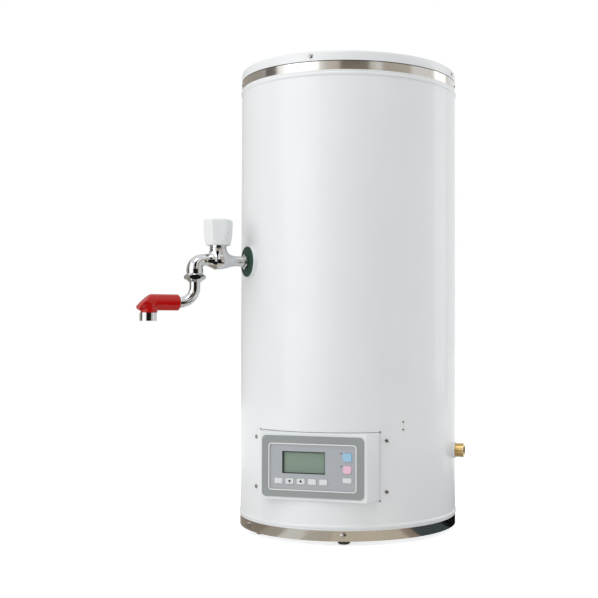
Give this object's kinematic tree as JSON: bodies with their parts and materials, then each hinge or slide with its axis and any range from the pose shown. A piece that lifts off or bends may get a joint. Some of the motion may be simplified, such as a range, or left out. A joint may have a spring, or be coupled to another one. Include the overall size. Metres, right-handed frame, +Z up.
{
  "type": "electric water boiler",
  "caption": "Floor-standing cylindrical electric water boiler with a white shell, steel trim bands, a swivel tap and a key panel.",
  "frame": {"origin": "On the tank's vertical axis, at the level of the feet's undersides, which is the floor.", "axes": "+Z is up along the tank's axis; the control panel faces -Y; the brass water inlet points along +X."},
  "size_m": [0.4381, 0.4386, 0.7165],
  "materials": {
    "white_enamel": "smooth glossy baked paint",
    "zinc_sheet": "galvanised sheet",
    "band_steel": "bright rolled stainless",
    "foot_rubber": "matt",
    "screw_steel": "zinc plated",
    "white_plastic": "moulded",
    "tank_steel": "satin stainless",
    "foam": null,
    "black_rubber": "matt",
    "brass": "turned",
    "black_plastic": "moulded",
    "copper_pipe": "drawn",
    "ivory_plastic": "moulded",
    "grey_plastic": "fine moulded texture",
    "panel_plastic": "satin film",
    "display_glass": "display behind a clear window",
    "circuit_board": "lacquered board",
    "key_white": "satin",
    "key_blue": "satin",
    "key_pink": "satin",
    "green_fibre": "pressed fibre sheet",
    "chrome": "mirror plated",
    "handle_plastic": "moulded",
    "red_plastic": "moulded"
  },
  "bodies": {
    "boiler": {"outer_shell": "white_enamel", "top_cap": "white_enamel", "top_ring": "zinc_sheet", "top_band": "band_steel", "base_band": "band_steel", "base_plate": "zinc_sheet", "rubber_feet": "foot_rubber", "foot_bolts": "screw_steel", "cap_screws": "screw_steel", "band_screws": "screw_steel", "band_rivets": "screw_steel", "side_rivets": "white_plastic", "inner_tank": "tank_steel", "insulation": "foam", "tank_stand": "zinc_sheet", "heater_flange": "tank_steel", "heater_gasket": "black_rubber", "heater_bolts": "screw_steel", "heater_elements": "tank_steel", "thermostat_probe": "brass", "overheat_cutout": "black_plastic", "inlet_stub": "brass", "inlet_bush": "white_plastic", "inlet_pipe": "copper_pipe", "power_relay": "black_plastic", "terminal_block": "ivory_plastic", "cable_gland": "black_plastic", "control_cover": "white_enamel", "cover_screws": "screw_steel", "bezel": "grey_plastic", "panel_plate": "panel_plastic", "lcd_module": "display_glass", "key_mat": "black_rubber", "control_pcb": "circuit_board", "controller_back": "grey_plastic", "tap_seat": "white_enamel", "tap_gasket": "green_fibre", "tap_locknut": "chrome", "tap_body": "chrome", "bonnet_nut": "chrome", "gland_packing": "black_rubber", "spout_nut": "chrome", "spout_seal": "black_rubber"},
    "valve": {"valve_disc": "brass", "valve_washer": "black_rubber"},
    "tap_handle": {"spindle": "brass", "handle": "handle_plastic", "handle_screw": "screw_steel", "handle_cap": "handle_plastic"},
    "spout": {"spout_pipe": "chrome", "spout_cover": "red_plastic", "nozzle": "chrome"},
    "mode_key": {"key_mode": "key_white"},
    "down_key": {"key_down": "key_white"},
    "up_key": {"key_up": "key_white"},
    "set_key": {"key_set": "key_white"},
    "clear_key": {"key_clear": "key_white"},
    "blue_key": {"key_blue": "key_blue"},
    "pink_key": {"key_pink": "key_pink"},
    "white_key": {"key_white": "key_white"}
  },
  "joints": [
    {"name": "valve_rise", "type": "slide", "parent": "boiler", "child": "valve", "axis": [0, 0, 1], "range_m": [0, 0.00263]},
    {"name": "handle_turn", "type": "hinge", "parent": "valve", "child": "tap_handle", "pos_m": [-0.15641, -0.15641, 0.4565], "axis": [0, 0, 1], "range_deg": [0, 540]},
    {"name": "spout_swivel", "type": "hinge", "parent": "boiler", "child": "spout", "pos_m": [-0.18201, -0.18201, 0.385], "axis": [0, 0, 1], "range_deg": [-135, 135]},
    {"name": "mode_press", "type": "slide", "parent": "boiler", "child": "mode_key", "axis": [0, 1, 0], "range_m": [0, 0.0008], "stiffness_N_per_m": 1500, "springref_m": -0.0005},
    {"name": "down_press", "type": "slide", "parent": "boiler", "child": "down_key", "axis": [0, 1, 0], "range_m": [0, 0.0008], "stiffness_N_per_m": 1500, "springref_m": -0.0005},
    {"name": "up_press", "type": "slide", "parent": "boiler", "child": "up_key", "axis": [0, 1, 0], "range_m": [0, 0.0008], "stiffness_N_per_m": 1500, "springref_m": -0.0005},
    {"name": "set_press", "type": "slide", "parent": "boiler", "child": "set_key", "axis": [0, 1, 0], "range_m": [0, 0.0008], "stiffness_N_per_m": 1500, "springref_m": -0.0005},
    {"name": "clear_press", "type": "slide", "parent": "boiler", "child": "clear_key", "axis": [0, 1, 0], "range_m": [0, 0.0008], "stiffness_N_per_m": 1500, "springref_m": -0.0005},
    {"name": "blue_press", "type": "slide", "parent": "boiler", "child": "blue_key", "axis": [0, 1, 0], "range_m": [0, 0.0008], "stiffness_N_per_m": 1500, "springref_m": -0.0005},
    {"name": "pink_press", "type": "slide", "parent": "boiler", "child": "pink_key", "axis": [0, 1, 0], "range_m": [0, 0.0008], "stiffness_N_per_m": 1500, "springref_m": -0.0005},
    {"name": "white_press", "type": "slide", "parent": "boiler", "child": "white_key", "axis": [0, 1, 0], "range_m": [0, 0.0008], "stiffness_N_per_m": 1500, "springref_m": -0.0005}
  ],
  "couplings": [
    {"joint": "handle_turn", "follows": "valve_rise", "rad_per_m": 3590.4}
  ]
}
